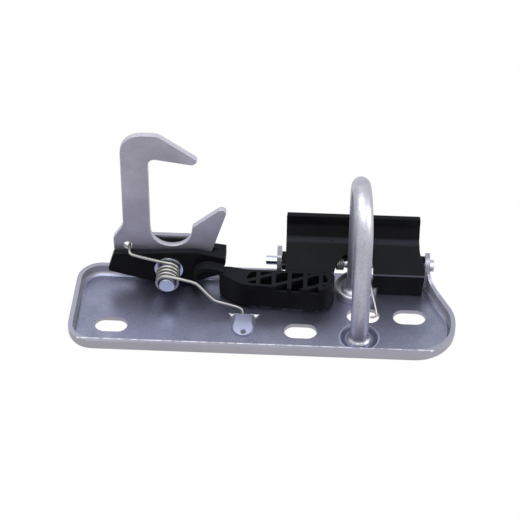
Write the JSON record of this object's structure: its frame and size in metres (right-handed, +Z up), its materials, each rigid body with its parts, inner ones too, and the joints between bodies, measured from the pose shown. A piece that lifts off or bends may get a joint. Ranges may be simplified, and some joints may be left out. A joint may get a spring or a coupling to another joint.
{
  "type": "bonnet latch",
  "caption": "Bonnet-side latch plate: pressed steel pan with a round striker loop, a sprung safety hook with a black release lever, and a sprung black flap.",
  "frame": {"origin": "on the plate's underside, at the middle of its outline", "axes": "+X along the plate from the hook to the flap, +Y from the open front edge to the hinge side, +Z up from the plate to the top of the striker"},
  "size_m": [0.1697, 0.0557, 0.0858],
  "materials": {
    "plated_steel": "satin",
    "bright_zinc": "satin",
    "spring_wire": "satin",
    "black_plastic": "satin"
  },
  "bodies": {
    "base": {"base_plate": "plated_steel", "striker_loop": "plated_steel", "striker_rear_collar": "plated_steel", "hook_pivot_pin": "bright_zinc", "hook_pivot_washer": "bright_zinc", "flap_pin": "bright_zinc", "hook_spring": "spring_wire", "flap_spring": "spring_wire"},
    "hook": {"hook": "plated_steel", "lever": "black_plastic"},
    "flap": {"flap": "black_plastic"}
  },
  "joints": [
    {"name": "hook_pivot", "type": "hinge", "parent": "base", "child": "hook", "pos_m": [-0.0426, 0.0199, 0.0134], "axis": [0, -1, 0], "range_deg": [0, 14], "stiffness_Nm_per_rad": 0.4, "springref_deg": -22.92, "deforming": ["hook_spring"]},
    {"name": "flap_pivot", "type": "hinge", "parent": "base", "child": "flap", "pos_m": [0.0388, 0.0249, 0.0126], "axis": [-1, 0, 0], "range_deg": [0, 40], "stiffness_Nm_per_rad": 0.1, "springref_deg": -28.65, "deforming": ["flap_spring"]}
  ]
}
